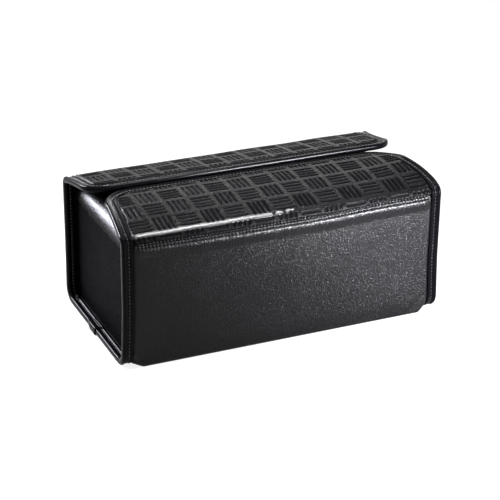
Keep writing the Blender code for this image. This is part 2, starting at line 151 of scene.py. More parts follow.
# The seam: both leathers roll in, with a row of stitches on each side
SEAM_DROP = 0.3 * MM
SEAM_SAG = 1.6 * MM
SEAM_TURN = 1.1 * MM
SEAM_ROLL = 0.9 * MM
UPPER_STITCHES = 1.3 * MM
LOWER_STITCHES = 1.5 * MM
SEAM_GROOVE = 0.45 * MM
GROOVE_WIDTH = 0.6 * MM
GATHER_LIFT = 0.16 * MM
UPPER_GATHERS = 0.6
SEAM_STITCH_LIFT = 0.35 * MM

# The padded band below the seam, and the part of it that shines
BAND_PLACE = 4.8 * MM
BAND_FALL = 7.5 * MM
BAND_LIFT = 1.35 * MM
BAND_SHINE = 3.8 * MM

# Slow waves in the soft leather between the edges
SOFT_LIFT = 0.22 * MM

# Creases at the base corners: distance from the end, height and depth of each
CREASES = ((15.0 * MM, 15.0 * MM, 0.5 * MM), (21.0 * MM, 9.0 * MM, 0.35 * MM))

# The wrap's columns, and its rows below the seam
WRAP_STEP = 0.75 * MM
SEAM_ROWS = np.concatenate([np.arange(0, 5, 0.4), np.arange(5, 18, 0.8)]) * MM

# The tape's section: a roll beside its nose, a groove for the stitches and a lip
TAPE_NOSE = 1.5 * MM
TAPE_CUT = 0.4 * MM
TAPE_ROLL = 0.60 * MM
TAPE_RIDGE = 1.0 * MM
TAPE_GROOVE = 0.36 * MM
TAPE_LIP = 0.50 * MM
TAPE_STITCH_PLACE = 5.2 * MM
TAPE_STITCH_SINK = 0.20 * MM
TAPE_STITCH_UP = 0.80 * MM
RIM_FOLD_ROWS = 10

# Stitches
STITCH_PITCH = 2.9 * MM
STITCH_LENGTH = 1.9 * MM
STITCH_RADIUS = 0.46 * MM

# End panels and tucks: heights above the tuck's hinge where the leather steps up to shinier,
# lighter and bluer copies, as a painted highlight on the tuck
TUCK_STEPS = (-2.0 * MM, 1.0 * MM, 3.5 * MM)
PANEL_CLEARANCE = 0.2 * MM
PANEL_EDGE = 22.0 * MM
TUCK_ROOT_RUN = 14.0 * MM
CLOTH_RUN = 6.0 * MM

# Camera, fitted to the edges in the photograph
CAMERA_PLACE = Vector((-0.51257, -1.14031, 0.62504))
CAMERA_AZIMUTH = math.radians(-24.167)
CAMERA_ELEVATION = math.radians(24.765)
CAMERA_ROLL = math.radians(0.664)
CAMERA_LENS = 123.22
CAMERA_SENSOR = 36.0

# Floor and world
FLOOR_SIZE = 6.0
FLOOR_COLOUR = (0.34, 0.34, 0.345, 1)
FLOOR_GLOW = 0.86
FLOOR_COVER = 0.06
WORLD_LIGHT = 0.12
WORLD_SEEN = 1.0


def smooth(value):
    """An even rise from 0 to 1, flat at both ends, on numbers or arrays."""
    share = np.clip(value, 0.0, 1.0)
    return share * share * (3 - 2 * share)


def bump(value, centre, width):
    return np.exp(-(((value - centre) / width) ** 2))


def waves(a, b, size, seed):
    """Soft uneven waves, mostly within -1 and 1, from a few sines of fixed direction."""
    total = 0.0
    for step in range(5):
        turn = seed * 1.7 + step * 2.4
        reach = size * (0.7 + 0.23 * step)
        along = a * math.cos(turn) + b * math.sin(turn)
        total = total + np.sin(2 * math.pi * along / reach + seed * 3.1 + step)
    return total / 3.2


def lean(place_y, height):
    full = np.where(place_y < 0, FRONT_LEAN, BACK_LEAN)
    return full * smooth(height / LEAN_RUN)


def pinch(distance):
    return EDGE_PINCH * (1 - smooth((distance - PINCH_FULL) / PINCH_RUN))


def seam_dip(place_x):
    """How far the seam sags along the wall; its right end is drawn up again."""
    drawn = 1 - 0.9 * smooth((place_x - 30 * MM) / (70 * MM))
    return (SEAM_DROP + SEAM_SAG * (1 - (place_x / HALF_WIDTH) ** 2)) * drawn


def seam_height(place_x):
    return FOLD_Z - seam_dip(place_x)


def stitch_wave(place_x):
    """-1 at each stitch of the seam and 1 midway between them."""
    return np.cos(2 * math.pi * place_x / STITCH_PITCH)


def drawn_in(place_x):
    """1.5 under each stitch of the seam and 0.3 in the gaps between them."""
    return 0.9 - 0.6 * stitch_wave(place_x)


def gathers(place_x, distance):
    """Small puckers that each stitch draws into the leather beside it."""
    return GATHER_LIFT * stitch_wave(place_x) * np.exp(-distance / (4.5 * MM))


# Meshes


def grid_normals(points):
    along = np.gradient(points, axis=0)
    across = np.gradient(points, axis=1)
    normals = np.cross(along, across)
    return normals / np.maximum(np.linalg.norm(normals, axis=2, keepdims=True), 1e-12)


def grid_faces(rows, columns, wrap_columns=False, start=0):
    index = np.arange(rows * columns).reshape(rows, columns) + start
    if wrap_columns:
        index = np.concatenate([index, index[:, :1]], axis=1)
    corners = (index[:-1, :-1], index[:-1, 1:], index[1:, 1:], index[1:, :-1])
    return np.stack([corner.ravel() for corner in corners], axis=1)


def new_object(name, points, faces, material):
    """An object from points and four-cornered faces."""
    points = np.asarray(points, np.float32).reshape(-1, 3)
    faces = np.asarray(faces, np.int32)
    mesh = bpy.data.meshes.new(name)
    mesh.vertices.add(len(points))
    mesh.vertices.foreach_set("co", points.ravel())
    mesh.loops.add(faces.size)
    mesh.loops.foreach_set("vertex_index", faces.ravel())
    mesh.polygons.add(len(faces))
    mesh.polygons.foreach_set("loop_start", np.arange(0, faces.size, 4, dtype=np.int32))
    mesh.update(calc_edges=True)
    mesh.validate()
    mesh.shade_smooth()
    mesh.set_sharp_from_angle(angle=math.radians(50.0))
    mesh.materials.append(material)
    piece = bpy.data.objects.new(name, mesh)
    bpy.context.scene.collection.objects.link(piece)
    return piece


def sheet_object(name, points, thickness, facing, material):
    """A closed thin sheet: points is its visible face as a grid, with its back behind."""
    normals = grid_normals(points)
    middle = normals[normals.shape[0] // 2, normals.shape[1] // 2]
    if np.dot(middle, facing) < 0:
        points = points[:, ::-1]
        normals = grid_normals(points)
    rows, columns = points.shape[:2]
    back = points - normals * thickness
    count = rows * columns
    face = grid_faces(rows, columns)
    behind = grid_faces(rows, columns, start=count)[:, ::-1]
    index = np.arange(count).reshape(rows, columns)
    loop = np.concatenate([index[0, :], index[1:, -1], index[-1, -2::-1], index[-2:0:-1, 0]])
    after = np.roll(loop, -1)
    rim = np.stack([after, loop, loop + count, after + count], axis=1)
    everything = np.concatenate([points.reshape(-1, 3), back.reshape(-1, 3)])
    return new_object(name, everything, np.concatenate([face, behind, rim]), material)


def tube_object(name, rings, material):
    """A closed strip with a folded section: each ring is its outer line, then its inner."""
    rows, columns = rings.shape[:2]
    faces = grid_faces(rows, columns, wrap_columns=True)
    step = np.arange(columns // 2 - 1)
    cap = np.stack([step, step + 1, columns - 2 - step, columns - 1 - step], axis=1)
    caps = np.concatenate([cap[:, ::-1], cap + (rows - 1) * columns])
    flat = rings.reshape(-1, 3)
    a, b, c, d = (flat[faces[:, corner]] for corner in range(4))
    volume = np.sum(a * np.cross(b, c)) + np.sum(a * np.cross(c, d))
    faces = np.concatenate([faces, caps])
    if volume < 0:
        faces = faces[:, ::-1]
    return new_object(name, rings, faces, material)


def shine_faces(piece, materials, steps):
    """Further materials on the faces whose points all reach the steps 1, 2 and so on."""
    for material in materials:
        piece.data.materials.append(material)
    steps = np.tile(steps.ravel(), 2)
    loops = np.zeros(len(piece.data.loops), np.int32)
    piece.data.loops.foreach_get("vertex_index", loops)
    lowest = steps[loops].reshape(-1, 4).min(axis=1)
    piece.data.polygons.foreach_set("material_index", lowest.astype(np.int32))


# The case's surfaces


def fold_point(side, angle, offset):
    radius = np.maximum(FOLD_RADIUS - offset, GAP)
    reach = HALF_DEPTH - offset - radius + radius * np.sin(angle)
    height = FOLD_HEIGHT - offset - radius + radius * np.cos(angle)
    return side * reach, height


def corner_point(side, angle, offset, corner):
    radius = np.maximum(corner - offset, GAP)
    reach = HALF_DEPTH - offset - radius + radius * np.cos(angle)
    height = offset + radius - radius * np.sin(angle)
    return side * reach, height


class Flap:
    """The surface of one top flap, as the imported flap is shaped. s runs to the slit."""

    def __init__(self, **shape):
        vars(self).update(shape)
        self.hinge_y, self.hinge_z = fold_point(self.side, FOLD_ANGLE, 0.0)
        self.length = self.side * (self.hinge_y - (SLIT_PLACE + self.side * SLIT_GAP / 2))
        self.straight = self.length - self.corner
        self.crown = self.length * math.tan(FOLD_ANGLE) - self.rise
        self.hinge_half = HALF_WIDTH - float(lean(self.hinge_y, self.hinge_z))
        self.slit_half = self.hinge_half - self.taper

    def place(self, s, offset):
        """(y, z) on the flap at s, offset inward from its top face."""
        share = s / self.length
        height = self.rise * share + self.crown * share * (1 - share)
        slope = np.arctan((self.rise + self.crown * (1 - 2 * share)) / self.length)
        y = self.hinge_y - self.side * (s + offset * np.sin(slope))
        return y, self.hinge_z + height - offset * np.cos(slope)

    def cover_place(self, arc, offset):
        """(y, z) at an arc length up from the fold's foot: wall, fold, then the flap."""
        turn = QUARTER - np.clip(arc, 0.0, FOLD_LENGTH) / FOLD_RADIUS
        fold_y, fold_z = fold_point(self.side, turn, offset)
        flap_y, flap_z = self.place(np.maximum(arc - FOLD_LENGTH, 0.0), offset)
        beyond = arc > FOLD_LENGTH
        y = np.where(beyond, flap_y, fold_y)
        return y, np.where(beyond, flap_z, fold_z + np.minimum(arc, 0.0))

    def swell(self, place_x, s):
        """The soft rise of the leather and its tape towards the right end of the flap."""
        near = smooth(1 - (HALF_WIDTH - place_x) / self.puff_run)
        share = np.clip(s / self.length, 0.0, 1.0)
        rise = np.sin(math.pi * share**0.65) * (1 - smooth((share - 0.6) / 0.25))
        return near * (self.puff * rise - self.droop * smooth((share - 0.72) / 0.2))

    def half_width(self, s):
        share = np.clip(s / self.straight, 0.0, 1.0)
        return self.hinge_half + (self.slit_half - self.hinge_half) * share

    def edge_distance(self, place_x, s):
        beside = self.half_width(s) - np.abs(place_x)
        beyond = self.length - s
        inside = np.minimum(beside, beyond)
        cornered = (beside < self.corner) & (beyond < self.corner)
        rounded = self.corner - np.hypot(self.corner - beside, self.corner - beyond)
        return np.where(cornered, rounded, inside)

    def bound_half(self, s):
        """Half the leather's width at s, inside the tape."""
        into = s - self.straight
        radius = self.corner - TAPE_STACK
        chord = np.sqrt(np.maximum(radius**2 - np.maximum(into, 0.0) ** 2, 0.0))
        drawn = self.half_width(s) - self.corner + chord
        return np.where(into > 0, drawn, self.half_width(s) - TAPE_STACK)


FLAPS = {key: Flap(**shape) for key, shape in FLAP_SHAPES.items()}


# Materials


def set_node(node, values):
    """Each value sets the node's property of that name, or else its input."""
    for key, value in values.items():
        if hasattr(node, key):
            setattr(node, key, value)
        else:
            node.inputs[key.replace("_", " ")].default_value = value


def new_material(name, **values):
    """A material, its nodes and its shader, on which the values are set."""
    material = bpy.data.materials.new(name)
    material.use_nodes = True
    nodes = material.node_tree.nodes
    shader = nodes["Principled BSDF"]
    set_node(shader, values)
    return material, nodes, shader


def join(source, output, target, socket):
    """Link one node's output to another's input."""
    source.id_data.links.new(source.outputs[output], target.inputs[socket])


def add_node(nodes, kind, *sources, **values):
    """A new node, fed by its sources: each is a node, its output and the new node's input."""
    node = nodes.new(f"ShaderNode{kind}")
    set_node(node, values)
    for source, output, socket in sources:
        join(source, output, node, socket)
    return node


def add_math(nodes, operation, *terms):
    """A maths node: each term is a number, or the node and output that give it."""
    node = add_node(nodes, "Math", operation=operation)
    for socket, term in enumerate(terms):
        if isinstance(term, tuple):
            join(*term, node, socket)
        else:
            node.inputs[socket].default_value = term
    return node


def add_relief(nodes, shader, source, output, strength, depth):
    height = (source, output, "Height")
    relief = add_node(nodes, "Bump", height, Strength=strength, Distance=depth)
    join(relief, "Normal", shader, "Normal")


def add_tint(nodes, shader, source, output, dark, light):
    tint = add_node(nodes, "ValToRGB", (source, output, "Fac"))
    for element, colour in zip(tint.color_ramp.elements, (dark, light)):
        element.color = (*colour, 1)
    join(tint, "Color", shader, "Base Color")


def shade(colour, share):
    return [channel * share for channel in colour]


def leather_material(name, colour, roughness, specular, grain, depth, dull):
    """Black leather: domed pebbles that shine, with duller creases between them, which are
    painted darker as shade.
    """
    material, nodes, shader = new_material(name, Specular_IOR_Level=specular)
    place = add_node(nodes, "TexCoord")
    laid = (place, "Object", "Vector")
    warp = add_node(nodes, "TexNoise", laid, Scale=grain * 0.5, Detail=1.0)
    shift = add_node(
        nodes, "VectorMath", (warp, "Color", 0), (place, "Object", 2), operation="MULTIPLY_ADD"
    )
    shift.inputs[1].default_value = (0.4 / grain, 0.4 / grain, 0.4 / grain)
    warped = (shift, 0, "Vector")
    pebbles = add_node(nodes, "TexVoronoi", warped, feature="F1", Scale=grain)
    creases = add_node(nodes, "TexVoronoi", warped, feature="DISTANCE_TO_EDGE", Scale=grain)
    dome = add_node(
        nodes, "MapRange", (creases, "Distance", "Value"),
        interpolation_type="SMOOTHSTEP", From_Max=0.42,
    )
    height = add_math(nodes, "MULTIPLY_ADD", (pebbles, "Distance"), -0.7, (dome, "Result"))
    add_relief(nodes, shader, height, 0, 1.0, depth * MM)
    cloud = add_node(nodes, "TexNoise", laid, Scale=45.0, Detail=3.0)
    uneven = add_node(
        nodes, "MapRange", (cloud, "Fac", "Value"), From_Min=0.3, From_Max=0.7,
        To_Min=roughness + dull - 0.015, To_Max=roughness + dull + 0.015,
    )
    polish = add_math(nodes, "MULTIPLY_ADD", (dome, "Result"), -dull, (uneven, "Result"))
    join(polish, 0, shader, "Roughness")
    # Painted shade: the creases are coloured darker and the dome tops a little lighter
    add_tint(nodes, shader, dome, "Result", shade(colour, 0.25), shade(colour, 1.2))
    return material


def cloth_material(name, colour):
    """Matte lining cloth with a fine weave and a little sheen."""
    material, nodes, shader = new_material(
        name, Roughness=0.85, Sheen_Weight=0.05, Specular_IOR_Level=0.1
    )
    laid = (add_node(nodes, "TexCoord"), "Object", "Vector")
    threads = []
    for axis in ("X", "Y", "Z"):
        wave = add_node(
            nodes, "TexWave", laid,
            wave_type="BANDS", bands_direction=axis, Scale=330.0, Distortion=1.2,
        )
        threads.append((wave, "Fac"))
    crossed = add_math(nodes, "MAXIMUM", threads[0], threads[1])
    weave = add_math(nodes, "ADD", (crossed, 0), threads[2])
    add_relief(nodes, shader, weave, 0, 0.5, 0.2 * MM)
    add_tint(nodes, shader, crossed, 0, shade(colour, 0.6), shade(colour, 1.3))
    return material


def board_material(name, dark, light):
    """Grey board of pressed paper, with fibres and flecks."""
    material, nodes, shader = new_material(name, Roughness=0.9)
    laid = (add_node(nodes, "TexCoord"), "Object", "Vector")
    fibres = add_node(nodes, "TexNoise", laid, Scale=900.0, Detail=6.0)
    flecks = add_node(nodes, "TexVoronoi", laid, Scale=420.0)
    mixed = add_math(nodes, "MULTIPLY", (fibres, "Fac"), (flecks, "Distance"))
    add_relief(nodes, shader, mixed, 0, 0.3, 0.1 * MM)
    add_tint(nodes, shader, fibres, "Fac", dark, light)
    return material


def thread_material(name, colour, roughness, specular):
    """Black sewing thread: a twisted ply."""
    material, nodes, shader = new_material(
        name, Base_Color=(*colour, 1), Roughness=roughness, Specular_IOR_Level=specular
    )
    laid = (add_node(nodes, "TexCoord"), "Object", "Vector")
    twist = add_node(
        nodes, "TexWave", laid, wave_type="BANDS", bands_direction="DIAGONAL", Scale=700.0
    )
    add_relief(nodes, shader, twist, "Fac", 0.5, 0.1 * MM)
    return material


# Leathers: colour, roughness, specular, pebbles per metre, depth of the relief in mm, and
# how much duller the creases are
LEATHERS = {
    "smooth_leather": ((0.0035, 0.0035, 0.0042), 0.22, 0.12, 600.0, 0.13, 0.20),
    # The end panels and rims: a darker copy that barely reflects, as painted shade
    "end_leather": ((0.0030, 0.0030, 0.0036), 0.30, 0.004, 520.0, 0.18, 0.16),
    "band_leather": ((0.0035, 0.0035, 0.0042), 0.25, 0.20, 520.0, 0.08, 0.12),
    # Ever shinier, lighter and bluer copies for the tuck: a painted highlight
    "tuck_leather": ((0.004, 0.004, 0.006), 0.27, 0.13, 520.0, 0.10, 0.12),
    "tuck_edge_leather": ((0.004, 0.004, 0.005), 0.28, 0.05, 520.0, 0.12, 0.12),
    "tuck_foot_leather": ((0.003, 0.003, 0.004), 0.29, 0.018, 520.0, 0.15, 0.14),
    "embossed_leather": ((0.0045, 0.0045, 0.005), 0.22, 0.034, 600.0, 0.13, 0.14),
    # A shinier, lighter copy of the embossed leather, for the painted highlight over the fold
    "stretched_leather": ((0.006, 0.006, 0.007), 0.28, 0.40, 700.0, 0.03, 0.10),
    # A darker, duller copy of the embossed leather in the pressed bars: painted shade in their
    # recesses
    "stamped_leather": ((0.003, 0.003, 0.004), 0.30, 0.01, 800.0, 0.04, 0.10),
    "binding_tape": ((0.003, 0.003, 0.004), 0.13, 0.035, 1100.0, 0.01, 0.02),
}
LOOKS = {name: leather_material(name, *values) for name, values in LEATHERS.items()}
END = LOOKS["end_leather"]
CLOTH = cloth_material("lining_cloth", (0.016, 0.0155, 0.0155))
CARD = board_material("grey_board", (0.17, 0.16, 0.14), (0.29, 0.27, 0.24))
THREAD = thread_material("thread", (0.012, 0.012, 0.013), 0.30, 0.35)
# A darker, duller copy of the thread, as painted shade on the seam's lower row
SHADED_THREAD = thread_material("dull_thread", (0.002, 0.002, 0.002), 0.60, 0.02)


# Leather covers


def basket(a, b):
    """How deep the basket-weave stamp goes at (a, b): blocks of bars, turned by turns."""
    pitch = CELL + CELL_GAP
    column = np.floor(a / pitch + 0.5)
    row = np.floor(b / pitch + 0.5)
    from_x = a - column * pitch
    from_y = b - row * pitch
    turned = np.mod(column + row, 2) > 0.5
    along = np.where(turned, from_y, from_x)
    across = np.where(turned, from_x, from_y)
    bar_pitch = CELL / BARS
    lane = across / bar_pitch + BARS / 2
    lane_index = np.floor(lane)
    inside_lane = (lane - lane_index - 0.5) * bar_pitch
    half_bar = bar_pitch * BAR_SHARE / 2
    half_length = CELL / 2 - half_bar
    beyond = np.maximum(np.abs(along) - half_length, 0.0)
    distance = np.hypot(beyond, inside_lane) - half_bar
    outside = (lane_index < 0) | (lane_index >= BARS)
    distance = np.where(outside, half_bar, distance)
    return smooth(0.5 - distance / (2 * BAR_EDGE))


def cover_arcs(flap):
    """Rows up the fold and along the flap, close together where the corner turns."""
    straight = np.arange(0.0, FOLD_LENGTH + flap.straight, COVER_STEP)
    radius = flap.corner - TAPE_STACK
    turns = np.linspace(0.0, QUARTER, int(radius * QUARTER / COVER_STEP))
    rounded = FOLD_LENGTH + flap.straight + radius * np.sin(turns)
    return np.concatenate([straight, rounded])


def cover_offset(flap, place_x, arc):
    """How far the embossed leather lies below the flap's plain face, and its stamp."""
    above_seam = arc - (seam_height(place_x) - FOLD_Z)
    on_flap = flap.edge_distance(place_x, arc - FOLD_LENGTH)
    on_fold = flap.hinge_half - np.abs(place_x)
    edge = np.where(arc > FOLD_LENGTH, on_flap, on_fold)
    stamp = basket(place_x, arc - STAMP_PLACE)
    stamp = stamp * smooth((edge - TAPE_LEG) / MM) * smooth((above_seam - 3.2 * MM) / MM)
    roll = SEAM_ROLL * (1 - smooth(above_seam / SEAM_TURN))
    groove = bump(above_seam, UPPER_STITCHES + 0.2 * MM, GROOVE_WIDTH)
    groove = groove * SEAM_GROOVE * drawn_in(place_x)
    soft = SOFT_LIFT * waves(place_x, arc, 46 * MM, 2.0 + flap.side)
    soft = (soft + flap.full) * smooth((edge - TAPE_LEG) / (5 * MM))
    soft = soft + flap.swell(place_x, arc - FOLD_LENGTH)
    pull = UPPER_GATHERS * gathers(place_x, np.abs(above_seam - UPPER_STITCHES))
    return pinch(edge) + stamp * EMBOSS_DEPTH + roll + groove - soft - pull, stamp


def make_cover(key):
    """Embossed leather from the wall's seam over the fold to the slit, as one sheet."""
    flap = FLAPS[key]
    arcs = cover_arcs(flap)
    columns = int(2 * flap.hinge_half / COVER_STEP)
    shares = np.linspace(-1.0, 1.0, columns)[None, :]
    half = flap.bound_half(np.maximum(arcs - FOLD_LENGTH, 0.0))[:, None]
    place_x = shares * half
    arc = np.broadcast_to(arcs[:, None], place_x.shape)
    wall_rows = 5
    wall_x = np.repeat(place_x[:1], wall_rows, axis=0)
    low = seam_height(wall_x) - FOLD_Z
    wall_arc = low * (1 - np.arange(wall_rows)[:, None] / wall_rows)
    place_x = np.concatenate([wall_x, place_x])
    arc = np.concatenate([wall_arc, arc])
    offset, stamp = cover_offset(flap, place_x, arc)
    y, z = flap.cover_place(arc, offset)
    points = np.stack([place_x, y, z], axis=2)
    embossed = LOOKS["embossed_leather"]
    piece = sheet_object(f"{key}_cover", points, THIN_SHEET, (0, 0, 1), embossed)
    # Painted highlight: ragged patches over the fold, thinning out to the right, take the
    # shinier, lighter leather
    over_fold = (arc > FOLD_LENGTH - HIGHLIGHT_LOW) & (arc < FOLD_LENGTH - HIGHLIGHT_HIGH)
    highlight_patches = 0.35 * waves(place_x, arc, 5 * MM, 7.0)
    fold_highlight = over_fold & (highlight_patches > place_x / HIGHLIGHT_FADE)
    cover_faces(piece, points, stamp, fold_highlight.astype(float))
    blend_flap(piece)
    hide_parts(f"{key}_fold_strip", f"{key}_flap_leather")


def cover_faces(piece, points, stamp, fold_highlight):
    """The pressed bars take a darker, duller leather as painted shade, and ragged patches over
    the fold a shinier, lighter one as a painted highlight.
    """
    piece.data.materials.append(LOOKS["stamped_leather"])
    piece.data.materials.append(LOOKS["stretched_leather"])
    rows, columns = stamp.shape
    flipped = grid_normals(points)[rows // 2, columns // 2, 2] < 0
    chosen = np.zeros(len(piece.data.polygons), np.int32)
    # Slot 2 is the painted highlight over the fold, slot 1 the painted shade in the pressed bars
    for slot, values, level in ((2, fold_highlight, 0.7), (1, stamp, 0.62)):
        corners = (values[:-1, :-1] + values[:-1, 1:] + values[1:, 1:] + values[1:, :-1]) / 4
        if flipped:
            corners = corners[:, ::-1]
        chosen[: corners.size][(corners > level).ravel()] = slot
    piece.data.polygons.foreach_set("material_index", chosen)


def blend_flap(piece):
    """Bakes the piece's placement into its points."""
    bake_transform(piece)


def wrap_lift(place_x, below, height, edge, side):
    """How far the smooth leather stands out: rolled at the seam, then a padded band."""
    groove = -SEAM_GROOVE * drawn_in(place_x) * bump(below, LOWER_STITCHES, GROOVE_WIDTH)
    crest = BAND_LIFT * (1 + 0.12 * waves(place_x, 0.0, 70 * MM, 4.0 + side))
    rise = np.clip(below / BAND_PLACE, 0.0, 1.0)
    roll = (rise * (2 - rise) - 1) * SEAM_ROLL
    band = crest * (rise * (2 - rise) - smooth((below - BAND_PLACE) / BAND_FALL))
    pull = gathers(place_x, np.abs(below - LOWER_STITCHES))
    soft = SOFT_LIFT * waves(place_x, height, 60 * MM, 1.0 + side)
    fill = 0.5 * MM * smooth((edge - PINCH_FULL) / (14 * MM))
    across = smooth((edge - PINCH_FULL) / (7 * MM))
    return roll + groove + pull + band * across + (soft + fill) * smooth(height / (16 * MM))


def corner_creases(place_x, height, edge):
    """Short slanting folds where the base corner turns into the bound flange."""
    total = 0.0
    for out, up, depth in CREASES:
        beside = (edge - out) * 0.6 + (height - up) * 0.8
        along = (edge - out) * 0.8 - (height - up) * 0.6
        total = total + depth * bump(beside, 0.0, 1.1 * MM) * bump(along, 0.0, 5 * MM)
    return total


def make_wrap():
    """Smooth leather: front, base and back in one sheet."""
    edge_x = HALF_WIDTH - TAPE_STACK
    place_x = np.linspace(-edge_x, edge_x, int(2 * edge_x / WRAP_STEP))[None, :]
    edge = HALF_WIDTH - np.abs(place_x)
    corner_share = smooth((edge - PINCH_FULL) / CORNER_RUN)
    corner = FLANGE_CORNER + (BASE_CORNER - FLANGE_CORNER) * corner_share
    press = pinch(edge)
    top = seam_height(place_x)
    shares = np.linspace(0.0, 1.0, 46)[1:][:, None]
    near_height = top - SEAM_ROWS[:, None]
    far_height = near_height[-1:] + (corner - near_height[-1:]) * shares
    height = np.concatenate([near_height, far_height[:-1]])
    turns = np.linspace(0.0, QUARTER, 15)[:, None]
    base_shares = np.linspace(1.0, 0.0, 26)[1:][:, None]
    halves = []
    for side in (FRONT, BACK):
        lift = wrap_lift(place_x, top - height, height, edge, side)
        lift = lift - corner_creases(place_x, height, edge)
        wall_y = side * (HALF_DEPTH - press + lift)
        turn_y, turn_z = corner_point(side, turns, press, corner)
        base_y = turn_y[-1:] * base_shares
        base_z = np.broadcast_to(press, base_y.shape)
        y = np.concatenate([wall_y, turn_y, base_y])
        z = np.concatenate([height, turn_z, base_z])
        x = place_x * (1 - lean(y, z) / HALF_WIDTH)
        halves.append(np.stack([x, y, z], axis=2))
    points = np.concatenate([halves[0], halves[1][:-1][::-1]])
    piece = sheet_object("case_wrap", points, WALL_SHEET, (0, 0, -1), LOOKS["smooth_leather"])
    x, z = points[:, :, 0], points[:, :, 2]
    near_seam = FOLD_Z - z - seam_dip(x) + 0.7 * MM * waves(x, z, 5 * MM, 2.0)
    shine_faces(piece, (LOOKS["band_leather"],), (near_seam < BAND_SHINE).astype(int))
    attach(piece, "case")
    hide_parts("outer_wrap")


# Binding tape


def tape_relief(place, leg):
    """The tape stands up in a roll beside its nose, sinks at its stitches and lifts again."""
    roll = TAPE_ROLL * bump(place, 2.0 * MM, TAPE_RIDGE)
    groove = -TAPE_GROOVE * bump(place, TAPE_STITCH_PLACE, TAPE_RIDGE)
    lip = TAPE_LIP * bump(place, leg - 1.1 * MM, 0.55 * MM)
    return roll + groove + lip


def tape_outline(leg, back_leg, face, back):
    """The tape's section: (distance in from the nose, offset) of its outer and inner line."""
    middle = (face + back) / 2
    lip = face - tape_relief(leg - TAPE_CUT, leg)
    outer = [
        (leg, face + 0.55 * MM), (leg - 0.03 * MM, face + 0.3 * MM),
        (leg - 0.15 * MM, lip + 0.05 * MM),
    ]
    inner = [(leg - 0.05 * MM, face + TAPE)] * len(outer)
    for share in np.linspace(1, 0, 29):
        place = TAPE_NOSE + (leg - TAPE_CUT - TAPE_NOSE) * share
        outer.append((place, face - tape_relief(place, leg)))
        inner.append((place, face + TAPE))
    half = middle - face + tape_relief(TAPE_NOSE, leg)
    inner_half = middle - face - TAPE
    for turn in np.linspace(-QUARTER, QUARTER, 13)[1:-1]:
        bend = 1 - math.cos(turn) ** 0.75
        outer.append((TAPE_NOSE * bend - 0.1 * MM, middle + half * math.sin(turn)))
        inner.append((TAPE + (TAPE_NOSE - TAPE) * bend, middle + inner_half * math.sin(turn)))
    for share in np.linspace(0, 1, 19):
        place = TAPE_NOSE + (back_leg - 0.3 * MM - TAPE_NOSE) * share
        outer.append((place, back + tape_relief(place, back_leg)))
        inner.append((place, back - TAPE))
    outer.append((back_leg, back - 0.25 * MM))
    inner.append((back_leg, back - TAPE))
    return outer + inner[::-1]


def rim_places(side, offset):
    """(y, z) along half of a flange, from the hinge line to where its corner meets the base."""
    turns = np.linspace(FOLD_ANGLE, QUARTER, RIM_FOLD_ROWS)
    places = [fold_point(side, turn, offset) for turn in turns]
    low = corner_point(side, 0.0, offset, FLANGE_CORNER)[1]
    for height in np.linspace(places[-1][1], low, 48)[1:-1]:
        places.append((side * (HALF_DEPTH - offset), height))
    for turn in np.linspace(0.0, QUARTER, 13):
        places.append(corner_point(side, turn, offset, FLANGE_CORNER))
    return places


def tape_stations(flap):
    """Where the tape's rings stand: up one flange, round the flap and down again."""
    start_y = corner_point(flap.side, QUARTER, 0.0, FLANGE_CORNER)[0]
    end_y = LAP_PLACE - flap.side * LAP_LENGTH / 2
    rim_count = len(rim_places(flap.side, 0.0))
    half = [("base", base_y) for base_y in np.linspace(end_y, start_y, 44)[:-1]]
    half += [("rim", index) for index in range(rim_count - 1, -1, -1)]
    half += [("side", s) for s in np.linspace(0.0, flap.straight, 26)[1:-1]]
    half += [("corner", turn) for turn in np.linspace(0.0, QUARTER, 26)]
    slit = flap.slit_half - flap.corner
    stations = [(LEFT, kind, value) for kind, value in half]
    stations += [(0, "slit", value) for value in np.linspace(-slit, slit, 110)[1:-1]]
    return stations + [(RIGHT, kind, value) for kind, value in reversed(half)]


